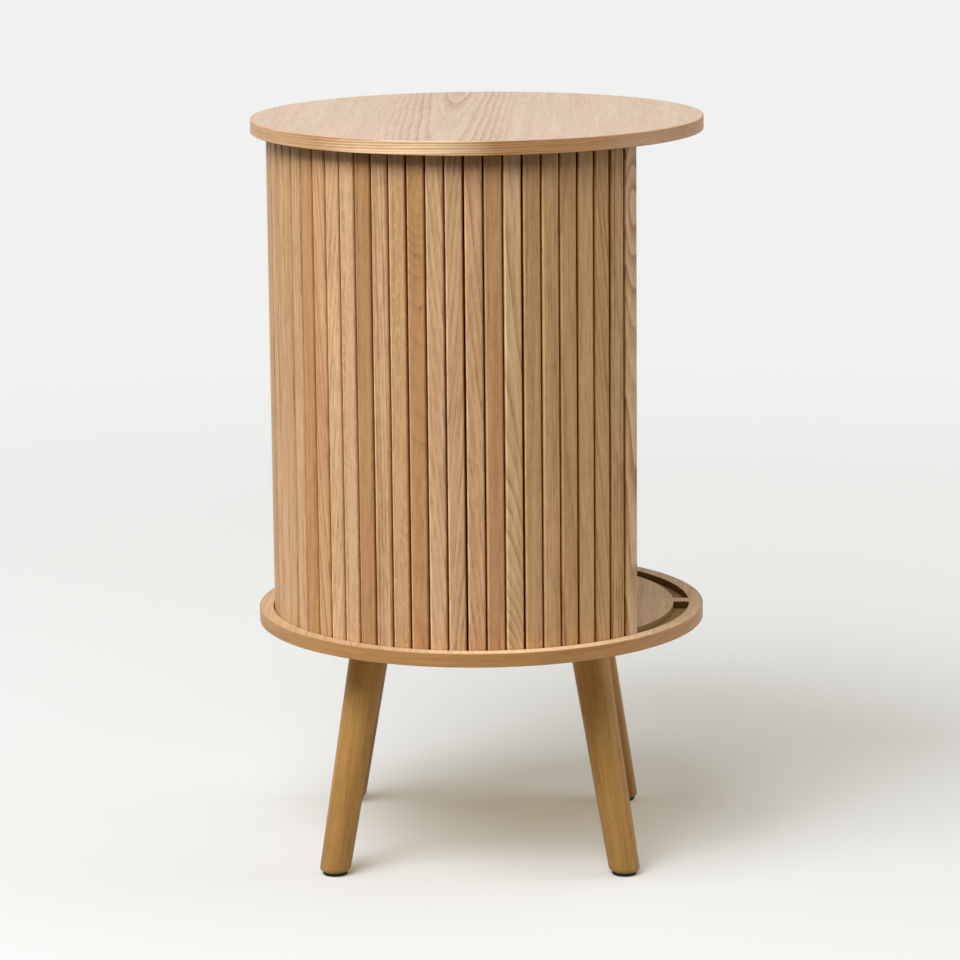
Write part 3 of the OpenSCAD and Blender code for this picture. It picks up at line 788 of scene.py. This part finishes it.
def leg(name, azimuth):
    """Rings of points from the middle of the top face, down the cone, to the foot's middle."""
    turn = math.radians(azimuth)
    out = Vector((math.sin(turn), -math.cos(turn), 0))
    down = out * math.sin(leg_lean) - Vector((0, 0, math.cos(leg_lean)))
    front = out * math.cos(leg_lean) + Vector((0, 0, math.sin(leg_lean)))
    beside = Vector((math.cos(turn), math.sin(turn), 0))
    top = out * leg_top_r + Vector((0, 0, base_z))

    def on_cone(s, t, inset=0.0):
        r = top_radius + taper * (s - leg_start - top_chamfer) - inset
        return top + down * s + (front * math.cos(t) + beside * math.sin(t)) * r

    def down_to(z, t):
        """How far down the axis the cone's side comes to a height."""
        rise = math.cos(t) * math.sin(leg_lean)
        start = top_radius - taper * (leg_start + top_chamfer)
        return (base_z - z + start * rise) / (math.cos(leg_lean) - taper * rise)

    angles = [math.tau * i / leg_sides for i in range(leg_sides)]
    rows = [[on_cone(leg_start, t, top_chamfer) for t in angles]]
    for k in range(leg_rings + 1):
        share = k / leg_rings
        rows.append([on_cone((leg_start + top_chamfer) * (1 - share)
                             + down_to(foot_level + foot_round, t) * share, t) for t in angles])
    for k in range(1, foot_rings + 1):
        roll = math.radians(90 * k / foot_rings)
        z = foot_level + foot_round * (1 - math.sin(roll))
        middle = top + down * ((base_z - z) / math.cos(leg_lean))
        inset = 1 - foot_round * (1 - math.cos(roll)) / foot_radius
        rows.append([middle + (on_cone(down_to(z, t), t) - middle) * inset for t in angles])
    form = bmesh.new()
    grain = form.verts.layers.float_vector.new("grain_place")
    oiled_tone_and_painted_light = form.verts.layers.float_color.new("tone")

    def vertex(at):
        made = form.verts.new(at)
        off = at - top
        made[grain] = (off.dot(beside), off.dot(front), -off.dot(down))
        # Painted light and shade: paler at the top, darker towards the foot
        shade = top_shade - foot_darker * off.dot(down) / leg_end
        made[oiled_tone_and_painted_light] = (*(c * shade for c in leg_tone), 1)
        return made

    placed_rows = [[vertex(at) for at in row] for row in rows]
    top_middle = vertex(top + down * leg_start)
    foot_middle = vertex(top + down * ((base_z - foot_level) / math.cos(leg_lean)))
    for i in range(leg_sides):
        e = (i + 1) % leg_sides
        form.faces.new((top_middle, placed_rows[0][e], placed_rows[0][i]))
        form.faces.new((foot_middle, placed_rows[-1][i], placed_rows[-1][e]))
        for high, low in zip(placed_rows, placed_rows[1:]):
            form.faces.new((high[i], high[e], low[e], low[i]))
    bmesh.ops.recalc_face_normals(form, faces=form.faces)
    mesh = bpy.data.meshes.new(name)
    form.to_mesh(mesh)
    form.free()
    return placed(name, mesh)


for seed, (name, azimuth) in enumerate(leg_angles.items()):
    leg_finish = oak(name.replace("_", " "), grain_place, Tone="tone",
                     Heart=(0.05, 0.03, 0), Lean=(0.01, 0.03, 0), Ring=0.008, Wander=0.012,
                     Rings=0.25, Pores=0.2, Lines=0.5, Blush=0.6, Satin=0.4, Seed=2.0 + seed)
    piece = leg(name + "_turned", azimuth)
    piece.data.materials.append(leg_finish)
    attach(piece, "table")
    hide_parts(name)


# ---- Glides ----------------------------------------------------------------------------------
# A black nylon disc under each foot, its lower edge eased, with its nail up in the leg.
def stepped(tree, sides, radius, *steps):
    """A closed round form that grows upwards from z = 0: each step is a height and a radius."""
    first = node(tree, "GeometryNodeMeshCircle", {"Vertices": sides, "Radius": radius},
                 fill_type="NGON").outputs[0]
    form, top = first, None
    for height, wider in steps:
        inputs = {"Mesh": form, "Offset": three(tree, 0, 0, height), "Offset Scale": 1.0,
                  "Individual": False}
        if top is not None:
            inputs["Selection"] = top
        grown_up = node(tree, "GeometryNodeExtrudeMesh", inputs).outputs
        top = grown_up["Top"]
        form = node(tree, "GeometryNodeScaleElements",
                    {"Geometry": grown_up["Mesh"], "Selection": top,
                     "Scale": maths(tree, "DIVIDE", wider, radius)}).outputs[0]
        radius = wider
    return closed(tree, form, first)


def one_at_each(tree, given, part):
    copies = node(tree, "GeometryNodeInstanceOnPoints",
                  {"Points": given["Places"], "Instance": part}).outputs[0]
    give_out(tree, copies, given["Finish"])
    return tree


def glides_tree():
    tree = bpy.data.node_groups.new("glides", "GeometryNodeTree")
    given = given_to(tree, "Glides", Places="PLACES", Sides="INT", Radius="FLOAT",
                     Thickness="FLOAT", Easing="FLOAT", Nail_radius="FLOAT",
                     Nail_length="FLOAT", Finish="FINISH")
    lower = maths(tree, "SUBTRACT", given["Radius"], given["Easing"])
    wall = maths(tree, "SUBTRACT", given["Thickness"], given["Easing"])
    glide = stepped(tree, given["Sides"], lower, (given["Easing"], given["Radius"]),
                    (wall, given["Radius"]), (0.0, given["Nail radius"]),
                    (given["Nail length"], given["Nail radius"]))
    return one_at_each(tree, given, glide)


nylon, tree, shader = finish_of("black nylon", Specular_IOR_Level=0.15)
speckle = spots(tree, 1400.0, 3.0)
scuffed = node(tree, "ShaderNodeMapRange", {0: speckle, 3: 0.4, 4: 0.62}).outputs[0]
feed(shader, Base_Color=blend(tree, speckle, (0.008, 0.008, 0.008, 1), (0.022, 0.021, 0.020, 1)),
     Roughness=scuffed, Normal=bumps(tree, speckle, 0.00003))
foot_r = leg_foot_r - (foot_level + foot_round / 2) * math.tan(leg_lean)
feet = [(foot_r * math.sin(math.radians(a)), -foot_r * math.cos(math.radians(a)), 0)
        for a in leg_angles.values()]
glide_mesh = grown("leg_glides", glides_tree(), feet, Sides=48, Radius=0.011,
                   Thickness=foot_level, Easing=0.0008, Nail_radius=0.0015,
                   Nail_length=0.014, Finish=nylon)
glides = placed("leg_glides", glide_mesh)
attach(glides, "table")
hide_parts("glides")


# ---- Leg plates, their screws and the hanger bolts -------------------------------------------
# Pressed steel plates with a slanted threaded boss, bright zinc plated. Four pan-head screws
# hold each to the base, and a hanger bolt in the leg's top screws into the boss.
zinc, tree, shader = finish_of("bright zinc", Metallic=1.0)
bloom = spots(tree, 160.0, 4.0)
rubbed = node(tree, "ShaderNodeMapRange", {0: bloom, 3: 0.24, 4: 0.5}).outputs[0]
feed(shader, Base_Color=blend(tree, bloom, (0.56, 0.57, 0.58, 1), (0.78, 0.78, 0.76, 1)),
     Roughness=rubbed, Normal=bumps(tree, spots(tree, 2600.0, 2.0), 0.000008))
finish_nodes(zinc, "leg_plates", "hanger_bolts")


def screws_tree():
    tree = bpy.data.node_groups.new("pan-head screws", "GeometryNodeTree")
    given = given_to(tree, "Screws", Places="PLACES", Sides="INT", Head_radius="FLOAT",
                     Head_height="FLOAT", Shank_radius="FLOAT", Shank_length="FLOAT",
                     Recess_width="FLOAT", Recess_length="FLOAT", Recess_depth="FLOAT",
                     Finish="FINISH")

    def times(value, share):
        return maths(tree, "MULTIPLY", value, share)

    radius, height = given["Head radius"], given["Head height"]
    screw = stepped(tree, given["Sides"], times(radius, 0.62),
                    (times(height, 0.12), times(radius, 0.82)),
                    (times(height, 0.2), times(radius, 0.95)),
                    (times(height, 0.28), radius),
                    (times(height, 0.4), radius),
                    (0.0, given["Shank radius"]),
                    (given["Shank length"], given["Shank radius"]))
    depth = times(given["Recess depth"], 2.0)
    for x, y in (("Recess width", "Recess length"), ("Recess length", "Recess width")):
        arm = node(tree, "GeometryNodeMeshCube",
                   {"Size": three(tree, given[x], given[y], depth)}).outputs[0]
        screw = node(tree, "GeometryNodeMeshBoolean", {0: screw, 1: arm},
                     operation="DIFFERENCE").outputs[0]
    return one_at_each(tree, given, screw)


plate_t, screw_head_t, screw_reach = 0.0025, 0.0022, 0.020
screw_places = []
for azimuth in leg_angles.values():
    turn = math.radians(azimuth - 90)
    for x in (-screw_reach, screw_reach):
        for y in (-screw_reach, screw_reach):
            outward = leg_top_r + x
            screw_places.append((outward * math.cos(turn) - y * math.sin(turn),
                                 outward * math.sin(turn) + y * math.cos(turn),
                                 base_z - plate_t - screw_head_t))
screw_mesh = grown("plate_screws", screws_tree(), screw_places, Sides=24, Head_radius=0.0035,
                   Head_height=screw_head_t, Shank_radius=0.0018, Shank_length=0.0105,
                   Recess_width=0.0008, Recess_length=0.0034, Recess_depth=0.0014, Finish=zinc)
screws = placed("pan_head_screws", screw_mesh)
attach(screws, "table")
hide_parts("plate_screws")


# ---- Inner case ------------------------------------------------------------------------------
# Two side panels, a back panel in their grooves and a shelf, of oak-veneered board. The
# veneer runs upwards on the upright panels and from side to side on the shelf.
case_tone = (0.60, 0.40, 0.235, 1)
side_veneer = oak("side panel veneer", grain_along(1, 0, 2), Tone=case_tone, Heart=(0.02, 0.06, 0),
                  Lean=(0, 0.05, 0), Ring=0.004, Wander=0.01, Rings=0.4, Pores=0.4, Seed=11.0)
back_veneer = oak("back panel veneer", grain_along(0, 1, 2), Tone=case_tone, Heart=(-0.03, 0.03, 0),
                  Lean=(0, 0.04, 0), Ring=0.0045, Wander=0.012, Rings=0.4, Pores=0.4, Seed=13.0)
shelf_veneer = oak("shelf veneer", grain_along(1, 2, 0), Tone=case_tone, Heart=(0.01, 0.38, 0),
                   Lean=(0, 0.05, 0), Ring=0.0042, Wander=0.01, Rings=0.4, Pores=0.4, Seed=17.0)
finish_nodes(side_veneer, "side_panel_left", "side_panel_right")
finish_nodes(back_veneer, "back_panel")
finish_nodes(shelf_veneer, "shelf")


# ---- Fasteners of the case -------------------------------------------------------------------
# Cam bolts and cams of zinc-plated steel, beech dowels beside them, and steel pins under
# the shelf.
beech = oak("beech", grain_along(0, 1, 2), Tone=(0.72, 0.50, 0.31, 1), Ring=0.002, Rings=0.2,
            Pores=0.15, Lines=0.4, Satin=0.6, Seed=19.0)
finish_nodes(zinc, "cam_bolts", "cam_locks", "shelf_pins")
finish_nodes(beech, "dowels")
